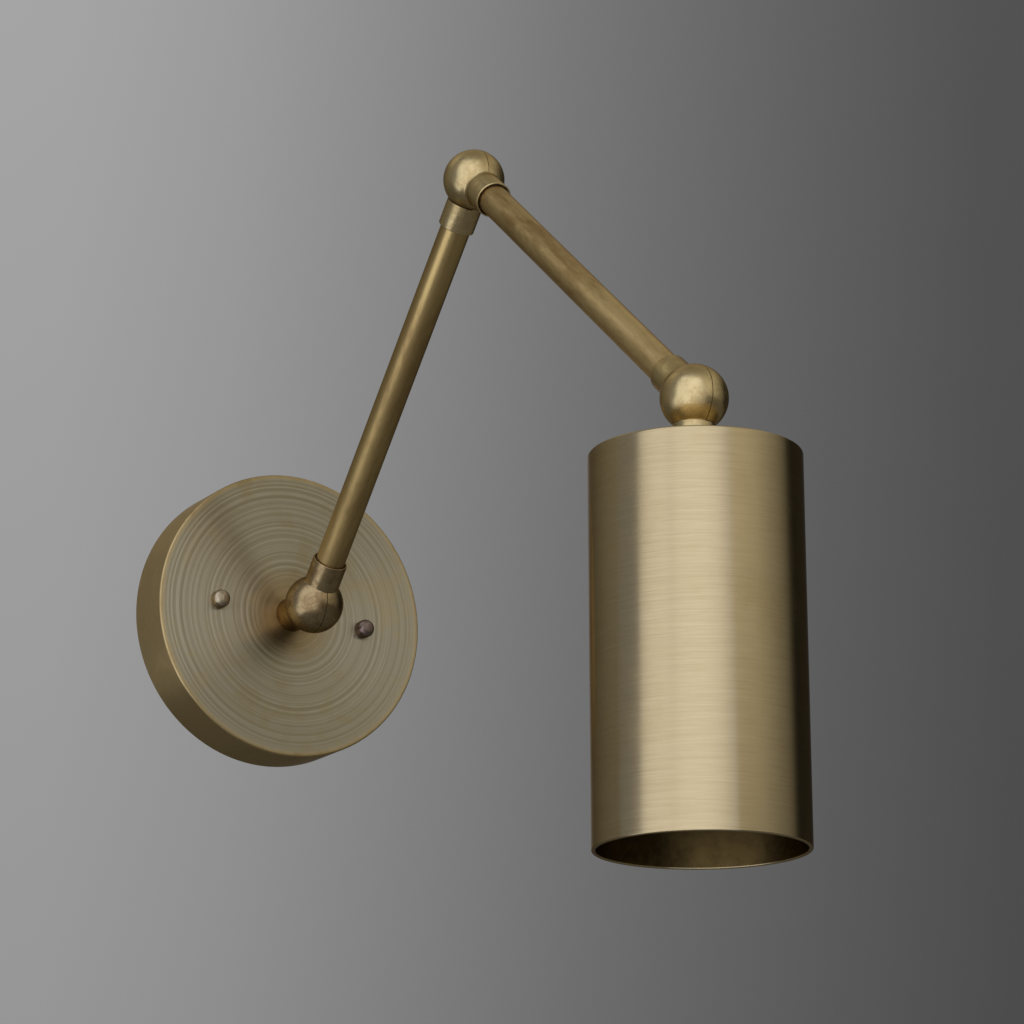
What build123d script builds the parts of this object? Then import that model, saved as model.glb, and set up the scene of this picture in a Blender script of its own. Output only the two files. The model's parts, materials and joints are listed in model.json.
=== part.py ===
from build123d import *
from math import atan2, cos, degrees, hypot, radians, sin, sqrt, tan
import os

# An articulating wall lamp: a round canopy, three ball swivels, two arms and a cylindrical shade.
# Millimetres. The wall is the plane y = 0, the lamp stands out of it along -Y, and +Z is up.
# The origin is the centre of the canopy's back. Both arms swing in the plane x = 0, about axes along X.
# An angle in that plane is counted from straight out of the wall (-Y) upwards (+Z).

# ---------------------------------------------------------------- driving dimensions

# fits
fit_gap = 0.05          # a thread or a pipe in its hole, all round
slip_gap = 0.15         # a sleeve in its seat, all round
seam_gap = 0.3          # between the two halves of a ball
sweep_gap = 0.3         # between a neck and the other half's ball, which turns past it

# canopy
canopy_d = 127.0
canopy_depth = 25.0
canopy_wall = 2.0
canopy_edge = 0.8       # rounding of the front edge
stud_spacing = 71.0
stud_tilt = -4.0        # the line of the studs is turned this far from level

# ball swivels
ball_d = 25.4
ball_wall = 3.3
neck_d = 15.2
neck_reach = 22.0       # from the ball's centre to the neck's mouth
neck_blend = 0.6
neck_edge = 0.3
pocket_depth = 4.0      # hollow in each half, from the seam plane
boss_d = 4.8
ring_width = 2.4        # friction ring between the halves
pipe_setback = 1.0      # pipes and nipples end this far outside the sweep of a ball
pivot_d = 3.0
pivot_length = 16.4
pivot_seat = 8.0        # from the seam plane to the floor of the screw's counterbore
pivot_head_d = 6.0
pivot_head_h = 2.2
pivot_edge = 0.3
spring_washer_h = 0.9
spring_washer_split = 0.5
spring_washer_turn = 35.0
slot_w = 0.8
slot_depth = 1.0

# arms
lower_arm_length = 206.0    # centre to centre of the balls
lower_arm_angle = 46.5
upper_arm_length = 215.0
upper_arm_angle = -40.4
sleeve_d = 12.7
sleeve_wall = 1.05
sleeve_seat = 2.5           # how deep a sleeve stands in a neck
pipe_d = 9.9
pipe_wall = 1.45

# shade
shade_angle = -90.0
shade_d = 78.4
shade_height = 145.0
shade_wall = 1.6
shade_edge = 0.8

# threaded pieces in the canopy and the shade
nipple_past_nut = 2.0
shade_nipple_reach = 7.4    # below the shade's lock nut, into the lampholder's cap
lock_nut_flats = 14.3
lock_nut_h = 3.2
nut_ease = 0.5              # bevel of the corners of every hexagon
tooth_washer_d = 16.0
tooth_washer_h = 0.8

# crossbar
bar_width = 20.0
bar_t = 2.0
box_bar_length = 104.0
slot_length = 15.0
slot_margin = 4.8           # from a box slot to the bar's end
slot_hole_d = 4.8
fixture_bar_length = 84.0
eyelet_d = 12.0
eyelet_bore_d = 9.8
eyelet_flange_d = 16.0
eyelet_flange_h = 0.8

# small fasteners
stud_d = 4.2
stud_back = 1.0             # how far a stud ends behind the fixture bar
stud_nut_flats = 8.7
stud_nut_h = 3.2
cap_nut_d = 7.8
cap_nut_h = 5.0
cap_nut_crown = 1.2         # top thickness over the blind thread
cap_nut_edge = 0.6
ground_screw_x = 21.0
ground_screw_d = 4.8
ground_screw_head_d = 8.4
ground_screw_head_h = 2.6
eye_t = 0.8
eye_d = 9.0
eye_tongue_w = 3.0
eye_tongue_length = 9.0     # from the screw's axis

# wiring
wire_d = 2.0
wire_spread = 1.2           # each wire's distance from the middle of the pair, in the arms' plane
wire_side = 1.3             # and across it, towards the half ball that it runs in
wire_room = 0.5             # between the pair and the bore round it
wire_off_wall = 0.8         # the outer wire's distance from the wall of a ball's pocket
wire_off_boss = 0.9         # the inner wire's distance from the boss
wire_bulge = 1.06           # how much wider than its ends a wire goes round the boss
lead_level = 8.0            # the leads lie this far in front of the wall
lead_ring_r = 50.0
lead_rise = 31.0            # from the canopy's axis to where the live and neutral leads turn aside
lead_bends = (28, 52, 72)   # degrees round the ring, from straight up or down
ground_bends = (52, 34)     # degrees round the ring, from +X upwards
connector_d = 11.0
connector_tip_d = 7.0
connector_length = 20.0
connector_bore = 8.0
connector_edge = 1.2

# lampholder for a 26 mm screw lamp
cap_hub_d = 14.0
cap_hub_h = 6.0
cap_d = 34.8
cap_shoulder_h = 6.0
cap_skirt_h = 9.0
cap_wall = 0.8
holder_gap = 0.4            # between the lampholder's parts and above its cap
shell_wall = 0.6
shell_length = 45.0
shell_in_cap = 7.0
liner_wall = 0.8
core_drop = 3.0             # from the top of the shell to the core
core_h = 14.0
core_ledge = 0.2            # the core's well is this much narrower than the screw shell, all round
core_slot_w = 3.0
screw_shell_bore_d = 26.6
screw_shell_wall = 0.5
screw_shell_length = 25.0
contact_d = 8.0
contact_h = 1.6
terminal_screw_d = 6.0
terminal_screw_h = 2.0

# ---------------------------------------------------------------- worked out

ball_r = ball_d / 2
neck_r = neck_d / 2
wire_r = wire_d / 2
pocket_r = ball_r - ball_wall
sweep_r = ball_r + sweep_gap
pipe_stop = sweep_r + pipe_setback              # pipes and nipples end this far from a ball's centre
pipe_bore_r = pipe_d / 2 - pipe_wall
wire_bore_r = hypot(wire_spread, wire_side) + wire_r + wire_room
sleeve_stop = neck_reach - sleeve_seat

# centres of the two box slots, which take screws 69.9 to 88.9 apart
slot_spacing = box_bar_length - 2 * slot_margin - slot_length
front = -canopy_depth                           # y of the canopy's face
inner_face = front + canopy_wall
bars_front = -2 * bar_t
eyelet_front = bars_front - eyelet_flange_h
shade_floor = shade_wall                        # thickness of the shade's closed top


def along(angle):
    """Unit vector in the plane of the arms."""
    return Vector(0, -cos(radians(angle)), sin(radians(angle)))


base_centre = Vector(0, front - neck_reach, 0)
elbow_centre = base_centre + along(lower_arm_angle) * lower_arm_length
tip_centre = elbow_centre + along(upper_arm_angle) * upper_arm_length

# each swivel: centre, angle of the neck that holds it, angle of the neck that turns, and the side
# of the ball round which the wires take the short way (+1 where the angle grows)
swivels = {
    "base_swivel": (base_centre, 180.0, lower_arm_angle, -1),
    "elbow_swivel": (elbow_centre, lower_arm_angle + 180, upper_arm_angle + 360, 1),
    "shade_swivel": (tip_centre, upper_arm_angle + 180, shade_angle + 360, 1),
}
# whether the wire takes the outer way round in each ball: that keeps the pair from crossing in an arm
wire_way = {
    "live": {"base_swivel": True, "elbow_swivel": False, "shade_swivel": False},
    "neutral": {"base_swivel": False, "elbow_swivel": True, "shade_swivel": True},
}
FIXED, TURNING = 1, -1                          # the half ball of the holding neck is on the +X side

parts = {}


# ---------------------------------------------------------------- helpers

def at(piece, centre, angle):
    """Moves a piece made along +Z about the origin to a ball's centre, pointing along an arm angle."""
    return Pos(*centre) * Rot(90 - angle, 0, 0) * piece


def rod(radius, start, end):
    """A cylinder along +Z from start to end."""
    return Pos(0, 0, start) * Cylinder(radius, end - start, align=(Align.CENTER, Align.CENTER, Align.MIN))


def pipe(outer, inner, start, end):
    return rod(outer, start, end) - rod(inner, start, end)


def rod_x(radius, start, end):
    return Rot(0, 90, 0) * rod(radius, start, end)


def rod_y(radius, start, end):
    """A cylinder along +Y from start to end."""
    return Rot(-90, 0, 0) * rod(radius, start, end)


def pipe_y(outer, inner, start, end):
    return rod_y(outer, start, end) - rod_y(inner, start, end)


def hexagon(flats, start, end):
    """A hexagonal prism along +Z with eased corners."""
    prism = extrude(RegularPolygon(flats / 2, 6, major_radius=False), end - start)
    round_corners = chamfer(rod(flats / sqrt(3), 0, end - start).edges(), nut_ease)
    return Pos(0, 0, start) * (prism & round_corners)


def nut(flats, bore_r, start, end):
    return hexagon(flats, start, end) - rod(bore_r, start, end)


def half_space(side, limit):
    """Everything on one side of the plane x = side * limit."""
    size = 4 * neck_reach
    return Pos(side * (limit + size / 2), 0, 0) * Box(size, size, size)


def corner_radius(before, corner, after):
    """The largest arc that the two runs at a corner allow."""
    first, second = Vector(corner) - Vector(before), Vector(after) - Vector(corner)
    turn = radians(first.get_angle(second))
    return 0.45 * min(first.length, second.length) / tan(turn / 2)


def wire_along(points):
    """One insulated wire through the points, its corners rounded."""
    if len(points) == 2:
        path = Line(*points)
    else:
        radii = [corner_radius(*points[i:i + 3]) for i in range(len(points) - 2)]
        path = FilletPolyline(*points, radius=radii)
    return sweep((path ^ 0) * Circle(wire_r), path=path)


# ---------------------------------------------------------------- ball swivels

def swivel_half(side, has_sleeve):
    """Half a ball with its whole round neck along +Z. The part of the neck beyond the seam is cut
    back to a sphere, so that the other half turns past it."""
    neck = chamfer(rod(neck_r, 0, neck_reach).edges().group_by(Axis.Z)[-1], neck_edge)
    rings = (Sphere(ball_r) + neck).edges().filter_by(GeomType.CIRCLE)
    crease = rings.filter_by(lambda ring: ring.radius < ball_r - neck_edge).sort_by(Axis.Z)[0]
    own = fillet(crease, neck_blend) & half_space(side, seam_gap / 2)
    beyond = neck & half_space(-side, -seam_gap / 2)
    half = own + (beyond - Sphere(sweep_r))

    half -= rod(wire_bore_r, boss_d / 2, pipe_stop)
    half -= rod(pipe_d / 2 + fit_gap, pipe_stop, neck_reach)
    if has_sleeve:
        half -= rod(sleeve_d / 2 + slip_gap, sleeve_stop, neck_reach)
    pocket = rod_x(pocket_r, 0, pocket_depth) - rod_x(boss_d / 2, 0, pocket_depth)
    half -= pocket if side > 0 else mirror(pocket, Plane.YZ)
    if side == FIXED:
        half -= rod_x(pivot_d / 2 + fit_gap, 0, ball_r)
        half -= rod_x(pivot_head_d / 2 + sweep_gap, pivot_seat, ball_r)
    else:
        half -= rod_x(pivot_d / 2 + fit_gap, -(pivot_length - pivot_seat), 0)
    return half


def pivot_screw():
    """The slotted screw that holds the halves together. Its head is in the holding half's counterbore
    and its thread in the turning half's boss."""
    under_head = pivot_seat + spring_washer_h
    top = under_head + pivot_head_h
    head = chamfer(rod_x(pivot_head_d / 2, under_head, top).edges().group_by(Axis.X)[-1], pivot_edge)
    slot = Pos(top - slot_depth / 2, 0, 0) * Box(slot_depth, slot_w, pivot_head_d)
    return head + rod_x(pivot_d / 2, under_head - pivot_length, under_head) - slot


def spring_washer():
    """A split spring washer under the screw's head."""
    ring = rod_x(pivot_head_d / 2, pivot_seat, pivot_seat + spring_washer_h)
    ring -= rod_x(pivot_d / 2 + slip_gap, pivot_seat, pivot_seat + spring_washer_h)
    split = Pos(pivot_seat, 0, pivot_head_d / 2) * Box(ball_d, spring_washer_split, pivot_head_d)
    return ring - Rot(spring_washer_turn, 0, 0) * split


def friction_ring():
    """A flat fibre ring in the seam, just outside the pockets."""
    inner = pocket_r + slip_gap
    return rod_x(inner + ring_width, -seam_gap / 2, seam_gap / 2) - rod_x(inner, -seam_gap / 2, seam_gap / 2)


def wire_in_neck(swivel, wire, side, distance):
    """Where a wire is in one of a swivel's two necks, at a distance from the ball's centre."""
    centre, holding, turning, short_way = swivels[swivel]
    angle, toward = (holding, short_way) if side == FIXED else (turning, -short_way)
    spread = wire_spread * toward * (1 if wire_way[wire][swivel] else -1)
    return centre + along(angle) * distance + along(angle + 90) * spread + Vector(side * wire_side, 0, 0)


def wire_round_pivot(swivel, wire):
    """A wire's way through a ball: in at the holding neck, round the screw's boss, out at the other."""
    centre, holding, turning, short_way = swivels[swivel]
    outer = wire_way[wire][swivel]
    reach = pocket_r - wire_off_wall - wire_r if outer else boss_d / 2 + wire_off_boss + wire_r
    aside = degrees(atan2(wire_spread, reach)) * (1 if outer else -1) * short_way
    first, last = holding + aside, turning - aside
    points = [wire_in_neck(swivel, wire, FIXED, pipe_stop), wire_in_neck(swivel, wire, FIXED, reach)]
    for share in (1 / 3, 2 / 3):
        angle = first + (last - first) * share
        across = wire_side * (1 - 2 * share)
        points.append(centre + along(angle) * reach * wire_bulge + Vector(across, 0, 0))
    points.append(wire_in_neck(swivel, wire, TURNING, reach))
    points.append(wire_in_neck(swivel, wire, TURNING, pipe_stop))
    return wire_along(points)


def make_swivel(name, holder, mover, sleeve_on_holder, sleeve_on_mover):
    centre, holding, turning, _ = swivels[name]
    parts[f"{name}_{holder}_half"] = at(swivel_half(FIXED, sleeve_on_holder), centre, holding)
    parts[f"{name}_{mover}_half"] = at(swivel_half(TURNING, sleeve_on_mover), centre, turning)
    parts[f"{name}_screw"] = at(pivot_screw(), centre, turning)
    parts[f"{name}_spring_washer"] = at(spring_washer(), centre, turning)
    parts[f"{name}_friction_ring"] = at(friction_ring(), centre, turning)
    parts[f"{name}_wires"] = [wire_round_pivot(name, wire) for wire in wire_way]


# ---------------------------------------------------------------- arms

def make_arm(name, length, angle, lower, upper):
    """A visible sleeve over the threaded pipe that joins two swivels, and the wires in the pipe."""
    start = swivels[lower][0]
    sleeve_start = sleeve_stop + fit_gap
    sleeve = pipe(sleeve_d / 2, sleeve_d / 2 - sleeve_wall, sleeve_start, length - sleeve_start)
    parts[f"{name}_tube"] = at(sleeve, start, angle)
    parts[f"{name}_pipe"] = at(pipe(pipe_d / 2, pipe_bore_r, pipe_stop, length - pipe_stop), start, angle)
    ends = [(lower, TURNING), (upper, FIXED)]
    parts[f"{name}_wires"] = [
        wire_along([wire_in_neck(swivel, wire, side, pipe_stop + fit_gap) for swivel, side in ends])
        for wire in wire_way]


# ---------------------------------------------------------------- canopy and crossbar

def on_stud_line(piece):
    """Turns a piece about the canopy's axis by the tilt of the studs."""
    return Rot(0, -stud_tilt, 0) * piece


def both_studs(piece):
    return [on_stud_line(Pos(side * stud_spacing / 2, 0, 0) * piece) for side in (-1, 1)]


def make_canopy():
    shell = rod_y(canopy_d / 2, front, 0)
    shell = fillet(shell.edges().group_by(Axis.Y)[0], canopy_edge)
    shell -= rod_y(canopy_d / 2 - canopy_wall, inner_face, 0)
    shell -= rod_y(pipe_d / 2 + fit_gap, front, inner_face)
    for hole in both_studs(rod_y(stud_d / 2 + slip_gap, front, inner_face)):
        shell -= hole
    parts["canopy"] = shell


def bar_plate(length, back):
    """A flat bar with round ends, its long way along X and its back at y = back."""
    outline = SlotOverall(length, bar_width)
    return Pos(0, back, 0) * Rot(90, 0, 0) * extrude(outline, bar_t)


def make_crossbar():
    """The upright bar that is screwed to the wall box, and the level one for the studs. They turn on a
    hollow eyelet, so that the canopy can be lined up."""
    box_bar = bar_plate(box_bar_length, 0)
    slot = Rot(90, 0, 0) * extrude(SlotOverall(slot_length, slot_hole_d), bar_t)
    for side in (-1, 1):
        box_bar -= Pos(side * slot_spacing / 2, 0, 0) * slot
    box_bar -= rod_y(eyelet_d / 2 + fit_gap, -bar_t, 0)
    box_bar -= rod_y(eyelet_flange_d / 2 + slip_gap, -eyelet_flange_h, 0)
    parts["box_bar"] = Rot(0, 90, 0) * box_bar

    fixture_bar = bar_plate(fixture_bar_length, -bar_t)
    fixture_bar -= rod_y(eyelet_d / 2 + fit_gap, bars_front, -bar_t)
    for side in (-1, 1):
        fixture_bar -= Pos(side * stud_spacing / 2, 0, 0) * rod_y(stud_d / 2 + fit_gap, bars_front, -bar_t)
    fixture_bar -= Pos(ground_screw_x, 0, 0) * rod_y(ground_screw_d / 2 + fit_gap, bars_front, -bar_t)
    parts["fixture_bar"] = on_stud_line(fixture_bar)

    eyelet = rod_y(eyelet_d / 2, bars_front, 0)
    eyelet += rod_y(eyelet_flange_d / 2, -eyelet_flange_h, 0)
    eyelet += rod_y(eyelet_flange_d / 2, eyelet_front, bars_front)
    parts["bar_eyelet"] = eyelet - rod_y(eyelet_bore_d / 2, eyelet_front, 0)


def make_canopy_fasteners():
    stud_end = front - cap_nut_h + cap_nut_crown + slip_gap
    parts["canopy_studs"] = both_studs(rod_y(stud_d / 2, stud_end, -bar_t + stud_back))
    stud_nut = Rot(90, 0, 0) * nut(stud_nut_flats, stud_d / 2 + fit_gap, 0, stud_nut_h)
    parts["stud_lock_nuts"] = both_studs(Pos(0, bars_front, 0) * stud_nut)
    cap = rod_y(cap_nut_d / 2, front - cap_nut_h, front)
    cap = fillet(cap.edges().group_by(Axis.Y)[0], cap_nut_edge)
    cap -= rod_y(stud_d / 2 + fit_gap, front - cap_nut_h + cap_nut_crown, front)
    parts["canopy_cap_nuts"] = both_studs(cap)

    nipple_back = inner_face + tooth_washer_h + lock_nut_h + nipple_past_nut
    nipple_front = base_centre.Y + pipe_stop
    parts["canopy_nipple"] = pipe_y(pipe_d / 2, pipe_bore_r, nipple_front, nipple_back)
    washer_back = inner_face + tooth_washer_h
    parts["canopy_nipple_washer"] = pipe_y(tooth_washer_d / 2, pipe_d / 2 + slip_gap, inner_face, washer_back)
    nipple_nut = Rot(-90, 0, 0) * nut(lock_nut_flats, pipe_d / 2 + fit_gap, 0, lock_nut_h)
    parts["canopy_nipple_nut"] = Pos(0, washer_back, 0) * nipple_nut


def make_ground():
    """The green screw on the fixture bar and the eye under its head, with a tongue for its lead."""
    head_back = bars_front - eye_t
    screw = Pos(0, head_back, 0) * Rot(90, 0, 0) * hexagon(ground_screw_head_d, 0, ground_screw_head_h)
    screw += rod_y(ground_screw_d / 2, head_back - ground_screw_head_h / 2, -bar_t + stud_back)
    parts["ground_screw"] = on_stud_line(Pos(ground_screw_x, 0, 0) * screw)
    tongue = Box(eye_tongue_w, eye_t, eye_tongue_length, align=(Align.CENTER, Align.MAX, Align.MIN))
    eye = rod_y(eye_d / 2, head_back, bars_front) + Pos(0, bars_front, 0) * tongue
    eye -= rod_y(ground_screw_d / 2 + fit_gap, head_back, bars_front)
    parts["ground_eye"] = on_stud_line(Pos(ground_screw_x, 0, 0) * eye)


def on_ring(angle):
    """A point on the circle on which the leads lie in the canopy, the angle from +X upwards."""
    return Vector(lead_ring_r * cos(radians(angle)), -lead_level, lead_ring_r * sin(radians(angle)))


def wire_connector(tip, direction):
    """A twist-on connector over the end of a lead."""
    upright = (Align.CENTER, Align.CENTER, Align.MIN)
    cone = Cone(connector_d / 2, connector_tip_d / 2, connector_length, align=upright)
    cone = fillet(cone.edges().group_by(Axis.Z)[-1], connector_edge)
    cone -= rod(wire_r + slip_gap, 0, connector_bore)
    return Plane(origin=tip - direction * connector_bore, z_dir=direction) * cone


def make_leads():
    """The supply leads in the canopy, each with a connector on its end."""
    connectors = []
    routes = {}
    for wire, upward in (("live", 1), ("neutral", -1)):
        start = wire_in_neck("base_swivel", wire, FIXED, pipe_stop + fit_gap)
        turn_in = Vector(start.X, -lead_level, start.Z)
        turn_out = Vector(start.X, -lead_level, upward * lead_rise)
        bends = [on_ring(upward * 90 + bend) for bend in lead_bends]
        routes[f"{wire}_lead"] = [start, turn_in, turn_out, *bends]
    tilt = radians(stud_tilt)
    tongue_x = ground_screw_x * cos(tilt) - eye_tongue_length * sin(tilt)
    tongue_z = ground_screw_x * sin(tilt) + eye_tongue_length * cos(tilt)
    on_tongue = Vector(tongue_x, bars_front - eye_t - wire_r, tongue_z - wire_d)
    lifted = Vector(tongue_x, -lead_level, tongue_z + lead_level)
    routes["ground_lead"] = [on_tongue, lifted, *[on_ring(bend) for bend in ground_bends]]
    for name, route in routes.items():
        parts[name] = wire_along(route)
        direction = (route[-1] - route[-2]).normalized()
        connectors.append(wire_connector(route[-1], direction))
    parts["wire_connectors"] = connectors


# ---------------------------------------------------------------- shade and lampholder

def in_shade(piece):
    """Places a piece made with +Z towards the shade's mouth and z = 0 on the shade's top."""
    return at(Pos(0, 0, neck_reach) * piece, tip_centre, shade_angle)


def make_shade():
    shade = rod(shade_d / 2, 0, shade_height)
    shade = fillet(shade.edges().group_by(Axis.Z)[0], shade_edge)
    shade -= rod(shade_d / 2 - shade_wall, shade_floor, shade_height)
    shade -= rod(pipe_d / 2 + fit_gap, 0, shade_floor)
    parts["shade"] = in_shade(shade)

    washer_end = shade_floor + tooth_washer_h
    nut_end = washer_end + lock_nut_h
    nipple_end = nut_end + shade_nipple_reach
    parts["shade_nipple"] = in_shade(pipe(pipe_d / 2, pipe_bore_r, pipe_stop - neck_reach, nipple_end))
    parts["shade_washer"] = in_shade(pipe(tooth_washer_d / 2, pipe_d / 2 + slip_gap, shade_floor, washer_end))
    parts["shade_nut"] = in_shade(nut(lock_nut_flats, pipe_d / 2 + fit_gap, washer_end, nut_end))


def make_lampholder():
    """A screw lampholder on the shade's nipple: cap, shell, liner, and a core with the screw shell on its
    end and the contact in its well."""
    hub = shade_floor + tooth_washer_h + lock_nut_h + holder_gap
    shoulder = hub + cap_hub_h
    skirt = shoulder + cap_shoulder_h
    cap_end = skirt + cap_skirt_h
    dome_start = shoulder + 2 * cap_wall
    cap_r, hub_r, bore_r = cap_d / 2, cap_hub_d / 2, pipe_d / 2 + fit_gap
    profile = [
        (bore_r, hub), (hub_r, hub), (hub_r, shoulder), (cap_r, skirt), (cap_r, cap_end),
        (cap_r - cap_wall, cap_end), (cap_r - cap_wall, skirt + cap_wall), (hub_r, dome_start),
        (bore_r, dome_start)]
    outline = Polyline(*[(r, 0, z) for r, z in profile], close=True)
    parts["lampholder_cap"] = in_shade(revolve(make_face(outline), Axis.Z))

    shell_r = cap_r - cap_wall - fit_gap
    shell_start = cap_end - shell_in_cap
    shell_end = shell_start + shell_length
    parts["lampholder_shell"] = in_shade(pipe(shell_r, shell_r - shell_wall, shell_start, shell_end))
    liner_r = shell_r - shell_wall - fit_gap
    liner_end = shell_end - holder_gap
    parts["lampholder_liner"] = in_shade(pipe(liner_r, liner_r - liner_wall, shell_start, liner_end))

    core_r = liner_r - liner_wall - fit_gap
    core_start = shell_start + core_drop
    core_end = core_start + core_h
    terminal_seat = core_r - terminal_screw_h - holder_gap
    terminal_level = core_start + core_h / 2
    recess_h = terminal_screw_d + 2 * holder_gap
    thread_r = screw_shell_bore_d / 2
    contact_end = core_end - holder_gap
    contact_start = contact_end - contact_h
    core = rod(core_r, core_start, core_end) - rod(thread_r - core_ledge, contact_start, core_end)
    for side in (-1, 1):
        recess = Box(2 * core_r, core_r, recess_h)
        core -= Pos(0, side * (terminal_seat + core_r / 2), terminal_level) * recess
        slot = Box(core_slot_w, core_r, core_h / 2)
        core -= Pos(0, side * (terminal_seat - wire_r + core_r / 2), core_start + core_h / 4) * slot
    parts["lampholder_core"] = in_shade(core)
    head = rod(terminal_screw_d / 2, terminal_seat, terminal_seat + terminal_screw_h)
    parts["terminal_screws"] = [
        in_shade(Pos(0, 0, terminal_level) * Rot(90 * -side, 0, 0) * head) for side in (-1, 1)]

    thread_end = core_end + screw_shell_length
    parts["screw_shell"] = in_shade(pipe(thread_r + screw_shell_wall, thread_r, core_end, thread_end))
    contact = rod(contact_d / 2, contact_start, contact_end)
    parts["centre_contact"] = in_shade(chamfer(contact.edges().group_by(Axis.Z)[-1], contact_h / 3))

    wires = []
    for wire in wire_way:
        start = wire_in_neck("shade_swivel", wire, TURNING, pipe_stop + fit_gap)
        aside = terminal_seat + wire_r
        out_y = tip_centre.Y + (aside if start.Y > tip_centre.Y else -aside)
        shade_top = tip_centre.Z - neck_reach
        wires.append(wire_along([
            start,
            Vector(start.X, start.Y, shade_top - dome_start - wire_d),
            Vector(0, out_y, shade_top - core_start + wire_d),
            Vector(0, out_y, shade_top - terminal_level + terminal_screw_d / 2)]))
    parts["lampholder_wires"] = wires


make_swivel("base_swivel", "plate", "arm", False, True)
make_swivel("elbow_swivel", "lower", "upper", True, True)
make_swivel("shade_swivel", "arm", "shade", True, False)
make_arm("lower_arm", lower_arm_length, lower_arm_angle, "base_swivel", "elbow_swivel")
make_arm("upper_arm", upper_arm_length, upper_arm_angle, "elbow_swivel", "shade_swivel")
make_canopy()
make_crossbar()
make_canopy_fasteners()
make_ground()
make_leads()
make_shade()
make_lampholder()

os.makedirs("parts", exist_ok=True)
for node, piece in parts.items():
    solids = piece if isinstance(piece, list) else [piece]
    export_step(Compound(children=[s for group in solids for s in group.solids()]), f"parts/{node}.step")
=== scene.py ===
import bpy
import json
from math import asin, cos, degrees, hypot, pi, radians, sin, sqrt
from mathutils import Matrix, Vector


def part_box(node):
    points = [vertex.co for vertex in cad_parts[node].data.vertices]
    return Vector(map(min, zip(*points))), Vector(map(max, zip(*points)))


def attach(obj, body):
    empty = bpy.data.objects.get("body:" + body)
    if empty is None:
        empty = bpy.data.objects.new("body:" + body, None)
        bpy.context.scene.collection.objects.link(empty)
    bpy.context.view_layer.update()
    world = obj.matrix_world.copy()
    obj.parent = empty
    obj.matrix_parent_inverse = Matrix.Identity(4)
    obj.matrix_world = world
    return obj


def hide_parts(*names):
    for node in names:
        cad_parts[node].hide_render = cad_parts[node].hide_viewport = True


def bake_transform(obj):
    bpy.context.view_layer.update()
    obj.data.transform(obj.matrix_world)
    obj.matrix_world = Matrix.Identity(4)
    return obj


# The looks of an articulating wall lamp in antique brass. Sizes are in millimetres, and MM turns them
# into the frame's metres. The wall is y = 0, the lamp stands out of it along -Y, and +Z is up.

MM = 0.001

# ---------------------------------------------------------------- sizes

# studio: heights are from the lamp's level, and angles go round the lamp from +X towards +Y
floor_level = -4500.0
floor_size = 120000.0
floor_patch = 900.0
softbox_distance = 4000.0
softbox_bottom, softbox_top = -3300.0, 9600.0
softbox_from, softbox_to = 145.0, 275.0
softbox_facets = 288        # of the whole circle
lean_full, lean_none = -1500.0, 300.0
lean_angle = 20.0           # its left edge stands this much further left below the lamp
fade_start = 0.45           # of its top's height, where it begins to dim
fade_end = 0.25             # its strength at the top
ceiling_from, ceiling_to = 26.0, 56.0       # degrees above the horizon

# camera: it stands below and to the left of the lamp and looks up
camera_place = (-682.398, -1401.221, -382.546)
camera_turn = 30.002        # to the right of straight at the wall
camera_tilt = 15.64         # upwards
camera_roll = -0.201
focal_length = 126.14       # for a picture 36 mm wide
sensor_width = 36.0

# threaded pipe, which every bore has to pass
pipe_r = 4.95
fit_gap = 0.05
pipe_bore_r = pipe_r + fit_gap

# canopy
canopy_wall = 2.0
canopy_edge = 0.8
canopy_back_edge = 0.35
ring_first, ring_last = 12.0, 61.5
ring_step = 2.55            # mean distance of the turned rings on the face
ring_depth = 0.035
ring_width = 0.30
stud_hole_r = 2.25
stud_hole_back, stud_hole_length = 5.0, 30.0

# cap nuts
cap_nut_r = 3.9
cap_nut_dome = [(0, 0), (1.5, 0.08), (2.6, 0.35), (3.3, 0.75), (3.7, 1.25), (cap_nut_r, 1.9)]  # radius, depth
cap_nut_foot = 0.25
cap_nut_bore_r = 2.15
cap_nut_top = 1.2

# ball swivels
ball_r = 12.7
ball_wall = 3.3
seam_gap = 0.3
sweep_r = 13.0              # the hollow at a neck's root, round the other half's ball
seam_edges = {1: 0.42, -1: 0.26}      # how far each half's lip is rounded at the seam
close_seam_edges = {1: 0.12, -1: 0.12}
mouth_sink = 0.55
neck_r = 7.6
neck_reach = 22.0
neck_edge = 0.4
neck_fillet = 0.9
soft_fillet = 2.6           # the upper arm's neck flows into its ball
pipe_stop = 14.0
wire_bore_r = 3.3
pocket_depth = 4.0
pocket_overlap = 0.01
boss_r = 2.4
boss_room = 0.6
pivot_r = 1.5
pivot_head_r = 3.0
pivot_room = 0.3
pivot_seat = 8.0
pivot_end = 8.4
overcut = 1.0               # a cutter reaches this far past what it cuts

# arms
sleeve_r = 6.35
sleeve_gap = 0.15
sleeve_seat = 2.5
sleeve_wall = 1.05
sleeve_edge = 0.2

# shade
shade_wall = 1.6
shade_edge = 0.8
shade_corner = 0.6
rim_edge = 0.5
face_margin = 0.05          # how closely the inner faces are told from the others

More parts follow.
